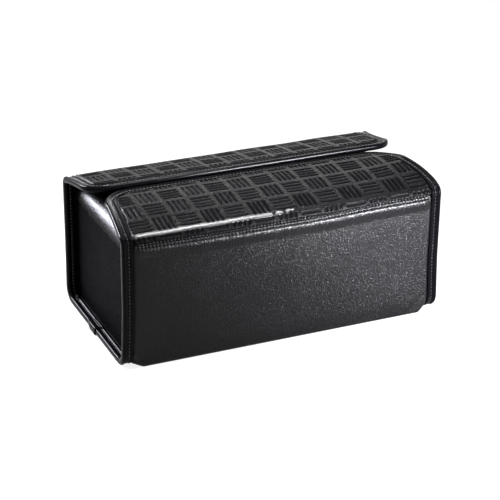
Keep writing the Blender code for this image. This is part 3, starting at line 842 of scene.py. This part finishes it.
def tape_rings(flap):
    """Rings of the whole tape of one flap, and the lines that its stitches follow."""
    side = flap.side
    lapped = LAP_PLACE + LAP_LENGTH / 2
    cached = {}

    def rim_at(index, offset):
        if offset not in cached:
            cached[offset] = rim_places(side, offset)
        return cached[offset][index]

    def rim_lean(kind, value):
        return float(lean(side, rim_at(value, TAPE_STACK)[1])) if kind == "rim" else 0.0

    def place_of(end, kind, value, inset, offset, swell):
        offset = round(offset, 7)
        if kind in ("base", "rim"):
            y, z = (value, offset) if kind == "base" else rim_at(value, offset)
            reach = HALF_WIDTH - rim_lean(kind, value) + swell - inset
            return end * reach, y, max(z, 0.0)
        if kind == "side":
            place_x, s = end * (flap.half_width(value) - inset), value
        elif kind == "corner":
            radius = flap.corner - inset
            place_x = end * (flap.slit_half - flap.corner + radius * math.cos(value))
            s = flap.straight + radius * math.sin(value)
        else:
            place_x, s = value, flap.length - inset
        upper = np.clip((FLAP_TAPE_BACK - offset) / (FLAP_TAPE_BACK - TAPE_STACK), 0.0, 1.0)
        return (place_x, *flap.place(s, offset - upper * flap.swell(place_x, s)))

    rings = []
    lines = {"face": [], "face_up": [], "back": [], "back_up": []}
    for end, kind, value in tape_stations(flap):
        swell = 0.0
        if kind == "base" and side == BACK:
            swell = TAPE_STACK * float(smooth((lapped + GAP + LAP_FLARE - value) / LAP_FLARE))
        on_flap = 0.0 if kind == "base" else 1.0
        if kind == "rim":
            on_flap = 0.5 * float(smooth(1 - value / RIM_FOLD_ROWS))
        elif kind == "side":
            on_flap = 0.5 + 0.5 * float(smooth(value / (8 * MM)))
        rim_back_leg = HALF_WIDTH - rim_lean(kind, value) - RIM_TAPE_END + swell
        back_leg = rim_back_leg + (TAPE_LEG - rim_back_leg) * on_flap
        back = RIM_TAPE_BACK + (FLAP_TAPE_BACK - RIM_TAPE_BACK) * on_flap + swell
        face = TAPE_STACK - swell
        outline = tape_outline(TAPE_LEG + swell, back_leg, face, back)
        rings.append([place_of(end, kind, value, i, o, swell) for i, o in outline])
        back_stitch = min(TAPE_STITCH_PLACE, 0.66 * back_leg)
        for name, place, level, inward in (
            ("face", TAPE_STITCH_PLACE, face, 1), ("back", back_stitch, back, -1)
        ):
            for line, step in ((name, TAPE_STITCH_SINK), (f"{name}_up", -TAPE_STITCH_UP)):
                found = place_of(end, kind, value, place, level + inward * step, swell)
                lines[line].append(found)
    return np.array(rings), {name: np.array(line) for name, line in lines.items()}


def make_binding(key):
    rings, lines = tape_rings(FLAPS[key])
    piece = tube_object(f"{key}_tape", rings, LOOKS["binding_tape"])
    blend_flap(piece)
    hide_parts(f"left_{key}_binding", f"{key}_flap_binding", f"right_{key}_binding")
    rows = stitch_row(lines["face"], lines["face_up"])
    rows += stitch_row(lines["back"], lines["back_up"])
    thread = stitches_object(f"{key}_tape_stitches", rows, THREAD)
    blend_flap(thread)


# Stitches


def capsule():
    """A unit stitch along X, with rounded ends that dip: 7 rings of 8 points."""
    rows, around = 7, 8
    turns = np.linspace(0, math.pi, rows)
    spins = 2 * math.pi * np.arange(around) / around
    thick = np.maximum(np.sin(turns), 0.02)[:, None] ** 0.55
    along = np.repeat(-np.cos(turns)[:, None], around, axis=1)
    up = thick * np.sin(spins) - 0.7 * along**4
    points = np.stack([along, thick * np.cos(spins), up], axis=2).reshape(-1, 3)
    faces = grid_faces(rows, around, wrap_columns=True)
    first = np.array([[3, 2, 1, 0], [4, 3, 0, 7], [5, 4, 7, 6]])
    last = first[:, ::-1] + (rows - 1) * around
    return points, np.concatenate([faces, first, last])


def stitch_row(line, lifted):
    """Places, directions and ups for stitches along a line of points."""
    steps = np.linalg.norm(np.diff(line, axis=0), axis=1)
    travelled = np.concatenate([[0.0], np.cumsum(steps)])

    def point_at(points, run):
        return np.array([np.interp(run, travelled, points[:, axis]) for axis in range(3)])

    count = int((travelled[-1] - STITCH_LENGTH) / STITCH_PITCH)
    middles = travelled[-1] / 2 + (np.arange(count) - (count - 1) / 2) * STITCH_PITCH
    found = []
    for middle in middles:
        first = point_at(line, middle - STITCH_LENGTH / 2)
        last = point_at(line, middle + STITCH_LENGTH / 2)
        centre = (first + last) / 2
        along = (last - first) / np.linalg.norm(last - first)
        up = point_at(lifted, middle) - centre
        up = up - along * np.dot(up, along)
        found.append((centre, along, up / np.linalg.norm(up)))
    return found


def stitches_object(name, rows, material):
    template, template_faces = capsule()
    points = []
    faces = []
    for index, (centre, along, up) in enumerate(rows):
        side = np.cross(up, along)
        shape = template[:, :1] * along * STITCH_LENGTH / 2
        shape = shape + template[:, 1:2] * side * STITCH_RADIUS
        shape = shape + template[:, 2:3] * up * STITCH_RADIUS
        points.append(centre + shape)
        faces.append(template_faces + index * len(template))
    return new_object(name, np.concatenate(points), np.concatenate(faces), material)


def make_seam_stitches(key):
    """Two rows, one on the smooth leather below the seam and one on the cover above it; the
    lower row takes a darker, duller thread as painted shade.
    """
    flap = FLAPS[key]
    count = 2 * int((END_X - 4 * MM) / STITCH_PITCH) + 1
    reach = count * STITCH_PITCH / 2
    xs = np.linspace(-reach, reach, 200)
    edge = HALF_WIDTH - np.abs(xs)
    height = seam_height(xs) - LOWER_STITCHES
    lift = wrap_lift(xs, np.full_like(xs, LOWER_STITCHES), height, edge, flap.side) - pinch(edge)
    lift = lift - gathers(xs, 0.0) + SEAM_STITCH_LIFT
    lower = np.stack([xs, flap.side * (HALF_DEPTH + lift), height], axis=1)
    lower_up = lower + np.array([0, flap.side * MM, 0])
    arc = seam_height(xs) - FOLD_Z + UPPER_STITCHES
    offset = cover_offset(flap, xs, arc)[0] + UPPER_GATHERS * gathers(xs, 0.0)
    offset = offset - SEAM_STITCH_LIFT
    upper = np.stack([xs, *flap.cover_place(arc, offset)], axis=1)
    upper_up = np.stack([xs, *flap.cover_place(arc, offset - MM)], axis=1)
    for row, line, lifted, thread in (
        ("upper", upper, upper_up, THREAD), ("lower", lower, lower_up, SHADED_THREAD)
    ):
        piece = stitches_object(f"{key}_{row}_stitches", stitch_row(line, lifted), thread)
        blend_flap(piece)


# Ends and lining


def edge_places(first, last, near, far, reach):
    """Places from first to last, close together at both ends."""
    places = [0.0]
    while places[-1] < (last - first) / 2:
        step = near + (far - near) * float(smooth(places[-1] / reach))
        places.append(places[-1] + step)
    half = np.array(places) * ((last - first) / 2 / places[-1])
    return np.concatenate([first + half, (last - half[::-1])[1:]])


def tuck_half(run, length):
    half = TUCK_ROOT_HALF + (TUCK_END_HALF - TUCK_ROOT_HALF) * np.clip(run / length, 0, 1)
    into = np.maximum(run - (length - TUCK_CORNER), 0.0)
    chord = np.sqrt(np.maximum(TUCK_CORNER**2 - into**2, 0.0))
    return np.where(into > 0, half - TUCK_CORNER + chord, half)


def end_rows(offset, low):
    """(reach from the end, height, half width, turn) up an end panel and round its tuck."""
    arc = TUCK_RADIUS * QUARTER
    length = arc + TUCK_REACH
    rows = []
    panel_half = HALF_DEPTH - LEG_BACK - PANEL_CLEARANCE
    corner = FLANGE_CORNER - LEG_BACK
    for height in edge_places(low, TUCK_HEIGHT, 0.7 * MM, 2.4 * MM, 20 * MM):
        into = max(corner - (height - low), 0.0)
        half = panel_half - corner + math.sqrt(max(corner**2 - into**2, 0.0))
        root = float(smooth((height - (TUCK_HEIGHT - TUCK_ROOT_RUN)) / TUCK_ROOT_RUN))
        rows.append((0.0, height, half + (TUCK_ROOT_HALF - panel_half) * root, 0.0))
    radius = TUCK_RADIUS - offset
    for turn in np.linspace(0.0, QUARTER, 22)[1:]:
        reach = TUCK_RADIUS - offset - radius * math.cos(turn)
        half = float(tuck_half(TUCK_RADIUS * turn, length))
        rows.append((reach, TUCK_HEIGHT + radius * math.sin(turn), half, turn))
    flat_runs = np.linspace(arc, length - TUCK_CORNER, 6)[1:]
    round_runs = length - TUCK_CORNER + TUCK_CORNER * np.sin(np.linspace(0, QUARTER, 14)[1:])
    for run in np.concatenate([flat_runs, round_runs]):
        reach = TUCK_RADIUS - offset + (run - arc)
        rows.append((reach, TUCK_HEIGHT + radius, float(tuck_half(run, length)), QUARTER))
    return rows


def panel_puff(ys, height, half, low):
    """The soft fullness of an end panel, which dies out at its edges and its tuck."""
    inner = smooth((half - np.abs(ys)) / PANEL_EDGE) * smooth((height - low) / PANEL_EDGE)
    puff = 0.9 * MM * inner + 0.2 * MM * waves(ys, height, 50 * MM, 5.0) * inner
    return puff * smooth((TUCK_HEIGHT + 4 * MM - height) / (25 * MM))


def make_end(prefix, end):
    """The end panel's leather with its tuck, and the lining behind them."""
    shares = edge_places(-1.0, 1.0, 0.015, 0.045, 0.3)
    layers = (
        ("end_panel", 0.0, LEG_BACK + PANEL_CLEARANCE, WALL_SHEET, END, "smooth_leather"),
        ("end_cloth", LEATHER + GAP, LINING_FACE, LINING, CLOTH, "lining_cloth"),
    )
    for layer, offset, low, thickness, material, slot in layers:
        is_panel = layer == "end_panel"
        points = []
        shines = []
        for reach, height, half, turn in end_rows(offset, low):
            behind = offset
            if not is_panel:
                drop = smooth((height - (TUCK_HEIGHT - CLOTH_RUN)) / CLOTH_RUN)
                behind = LINING_FACE + (offset - LINING_FACE) * float(drop)
            ys = shares * half
            xs = np.full_like(ys, END_X - behind - reach)
            if is_panel and turn == 0.0:
                xs = xs + panel_puff(ys, height, half, low)
            points.append(np.stack([end * xs, ys, np.full_like(ys, height)], axis=1))
            # Painted highlight: ragged steps up the tuck choose ever shinier, lighter copies of
            # the leather
            above = height - TUCK_HEIGHT + 0.8 * MM * waves(ys, height, 6 * MM, 3.0)
            shines.append(np.searchsorted(TUCK_STEPS, above))
        name = f"{prefix}_{layer}"
        piece = sheet_object(name, np.array(points), thickness, (end, 0, 0), material)
        if is_panel:
            looks = ("tuck_foot_leather", "tuck_edge_leather", "tuck_leather")
            shine_faces(piece, [LOOKS[look] for look in looks], np.array(shines))
        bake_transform(piece)
        if is_panel:
            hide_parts(f"{prefix}_tuck_leather")
        else:
            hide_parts(f"{prefix}_end_lining", f"{prefix}_tuck_lining")


def make_rim(prefix, end):
    """The end leather's turned-out rim, which is the inner layer of the flange."""
    profile = [(HALF_WIDTH - TAPE_STACK, LEG_BACK), (END_X + 4 * MM, LEG_BACK)]
    profile.append((END_X + RIM_FILLET, LEG_BACK))
    for turn in np.linspace(0.0, QUARTER, 7)[1:]:
        x = END_X + RIM_FILLET * (1 - math.sin(turn))
        profile.append((x, LEG_BACK + RIM_FILLET * (1 - math.cos(turn))))
    profile.append((END_X - 0.4 * MM, LEG_BACK + RIM_FILLET + 0.8 * MM))
    rows = []
    for x, offset in profile:
        leans = x > END_X + 5 * MM
        places = rim_places(FRONT, offset) + rim_places(BACK, offset)[::-1]
        row = [(end * (x - (float(lean(y, z)) if leans else 0.0)), y, z) for y, z in places]
        rows.append(row)
    piece = sheet_object(f"{prefix}_rim", np.array(rows), THIN_SHEET, (0, 0, 1), END)
    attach(piece, "case")
    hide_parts(f"{prefix}_end_leather")


def make_case_lining():
    """Cloth over the inside of the front, base and back."""
    line = []
    for side in (FRONT, BACK):
        run = []
        for height in np.linspace(FOLD_Z - 4 * MM, LINING_FACE + 4 * MM, 40):
            run.append((side * (HALF_DEPTH - LINING_FACE), height))
        for turn in np.linspace(0.0, QUARTER, 9):
            run.append(corner_point(side, turn, LINING_FACE, LINING_FACE + 2 * MM))
        line += run if side == FRONT else run[::-1]
    half = INNER_X - GAP
    points = np.array([[(x, y, z) for y, z in line] for x in np.linspace(-half, half, 60)])
    piece = sheet_object("case_cloth", points, LINING, (0, 0, -1), CLOTH)
    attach(piece, "case")
    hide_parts("case_lining")


def make_flap_lining(key):
    """Cloth under a flap, which bends with its fold and runs down into the case."""
    flap = FLAPS[key]
    side = flap.side
    behind_fold = 0.7 * MM
    inner_half = INNER_X - GAP
    rows = []
    for height in np.linspace(FOLD_Z - 5 * MM, FOLD_Z, 4)[:-1]:
        rows.append((inner_half, side * (HALF_DEPTH - LINING_FACE - behind_fold), height))
    for turn in np.linspace(QUARTER, FOLD_ANGLE, 12):
        y, z = fold_point(side, turn, LINING_FACE + behind_fold * math.sin(turn))
        rows.append((inner_half, y, z))
    radius = flap.corner - TAPE_STACK
    s_rows = np.concatenate([
        np.linspace(1.0 * MM, flap.straight, 22),
        flap.straight + radius * np.sin(np.linspace(0, QUARTER, 20)[1:]),
    ])
    for s in s_rows:
        widen = float(smooth((s - 2 * MM) / (2 * MM)))
        half = inner_half + (float(flap.bound_half(s)) - inner_half) * widen
        rows.append((half, *flap.place(s, FLAP_LINING_FACE)))
    shares = np.linspace(-1.0, 1.0, 60)
    points = np.array([[(share * half, y, z) for share in shares] for half, y, z in rows])
    piece = sheet_object(f"{key}_flap_cloth", points, LINING, (0, 0, 1), CLOTH)
    blend_flap(piece)
    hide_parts(f"{key}_flap_lining")


def dress_boards():
    for name, node in frame["nodes"].items():
        if name.endswith("_board"):
            node.data.materials.clear()
            node.data.materials.append(CARD)


# Camera, floor and light


def make_camera():
    ce, se = math.cos(CAMERA_ELEVATION), math.sin(CAMERA_ELEVATION)
    backward = Vector((math.sin(CAMERA_AZIMUTH) * ce, -math.cos(CAMERA_AZIMUTH) * ce, se))
    level = (-backward).cross(Vector((0, 0, 1))).normalized()
    upright = level.cross(-backward)
    cr, sr = math.cos(CAMERA_ROLL), math.sin(CAMERA_ROLL)
    right = level * cr + upright * sr
    up = upright * cr - level * sr
    data = bpy.data.cameras.new("camera")
    data.lens = CAMERA_LENS
    data.sensor_width = CAMERA_SENSOR
    camera = bpy.data.objects.new("camera", data)
    turn = Matrix((right, up, backward)).transposed().to_4x4()
    camera.matrix_world = Matrix.Translation(CAMERA_PLACE) @ turn
    bpy.context.scene.collection.objects.link(camera)
    bpy.context.scene.camera = camera


def seen_or_mirrored(nodes, cover=None):
    """1 where a ray from the camera, a gloss or a glass arrives, and 0 for other rays.

    With a cover node, a gloss or a glass sees only the share that it leaves open.
    """
    path = add_node(nodes, "LightPath")
    share = add_math(nodes, "MAXIMUM", (path, "Is Glossy Ray"), (path, "Is Transmission Ray"))
    if cover is not None:
        share = add_math(nodes, "MULTIPLY", (share, 0), (cover, "AO"))
    return add_math(nodes, "MAXIMUM", (path, "Is Camera Ray"), (share, 0))


def make_floor():
    """A plain pale floor, whose mirrored glow is covered near the case."""
    material, nodes, shader = new_material("pale_floor")
    nodes.remove(shader)
    plain = add_node(nodes, "BsdfDiffuse", Color=FLOOR_COLOUR)
    cover = add_node(nodes, "AmbientOcclusion", samples=8, Distance=FLOOR_COVER)
    strength = add_math(nodes, "MULTIPLY", (seen_or_mirrored(nodes, cover), 0), FLOOR_GLOW)
    glow = add_node(nodes, "Emission", (strength, 0, "Strength"))
    both = add_node(nodes, "AddShader", (plain, 0, 0), (glow, 0, 1))
    join(both, 0, nodes["Material Output"], "Surface")
    ends = ((-1, -1), (1, -1), (1, 1), (-1, 1))
    corners = [(x * FLOOR_SIZE, y * FLOOR_SIZE, -0.2 * MM) for x, y in ends]
    floor = new_object("floor", corners, [[0, 1, 2, 3]], material)


def make_world():
    world = bpy.data.worlds.new("studio")
    bpy.context.scene.world = world
    world.use_nodes = True
    nodes = world.node_tree.nodes
    seen = (seen_or_mirrored(nodes), 0, "Value")
    strength = add_node(nodes, "MapRange", seen, To_Min=WORLD_LIGHT, To_Max=WORLD_SEEN)
    background = nodes["Background"]
    background.inputs["Color"].default_value = (1, 1, 1, 1)
    join(strength, "Result", background, "Strength")


# Lamps: place, target, width, height, watts, spread in degrees and colour
LAMPS = {
    "overhead": ((0.1, 0.35, 2.0), (0, 0.2, 0), 1.6, 1.6, 16.0),
    "key": ((0.26, -0.34, 0.05), (0.12, -0.07, 0.0), 0.12, 0.08, 0.34, 40, (0.93, 0.93, 1)),
    "seam": ((0.20, -0.38, 0.15), (0.07, -0.07, 0.12), 0.16, 0.10, 0.9, 38, (0.95, 0.95, 1)),
    "left_rim": ((-0.66, 0.87, 0.37), (-0.13, 0, 0.11), 0.50, 0.30, 2.6, 40, (0.90, 0.90, 1)),
    "left_edge": ((-0.67, 0.63, 0.63), (-0.12, -0.02, 0.11), 0.16, 0.16, 1.0, 40),
    "fold_top": ((0.18, -0.15, 0.80), (-0.05, -0.06, 0.1), 0.12, 0.12, 0.6, 40),
    "back_right": ((0.60, 1.15, 0.62), (0.06, 0, 0.1), 0.60, 0.25, 0.3, 40),
}


def add_light(name, place, target, width, height, power, spread=180, colour=(1, 1, 1)):
    data = bpy.data.lights.new(name, "AREA")
    data.spread = math.radians(spread)
    data.shape = "RECTANGLE"
    data.size = width
    data.size_y = height
    data.energy = power
    data.color = colour
    light = bpy.data.objects.new(name, data)
    light.visible_camera = False
    light.location = place
    aim = Vector(target) - Vector(place)
    light.rotation_euler = aim.to_track_quat("-Z", "Y").to_euler()
    bpy.context.scene.collection.objects.link(light)


def make_object():
    make_wrap()
    for key in FLAPS:
        make_cover(key)
        make_binding(key)
        make_seam_stitches(key)
        make_flap_lining(key)
    for prefix, end in (("left", LEFT), ("right", RIGHT)):
        make_end(prefix, end)
        make_rim(prefix, end)
    make_case_lining()
    dress_boards()


make_camera()
make_object()
make_floor()
make_world()
for lamp, values in LAMPS.items():
    add_light(lamp, *values)
bpy.context.scene.view_settings.view_transform = "Standard"
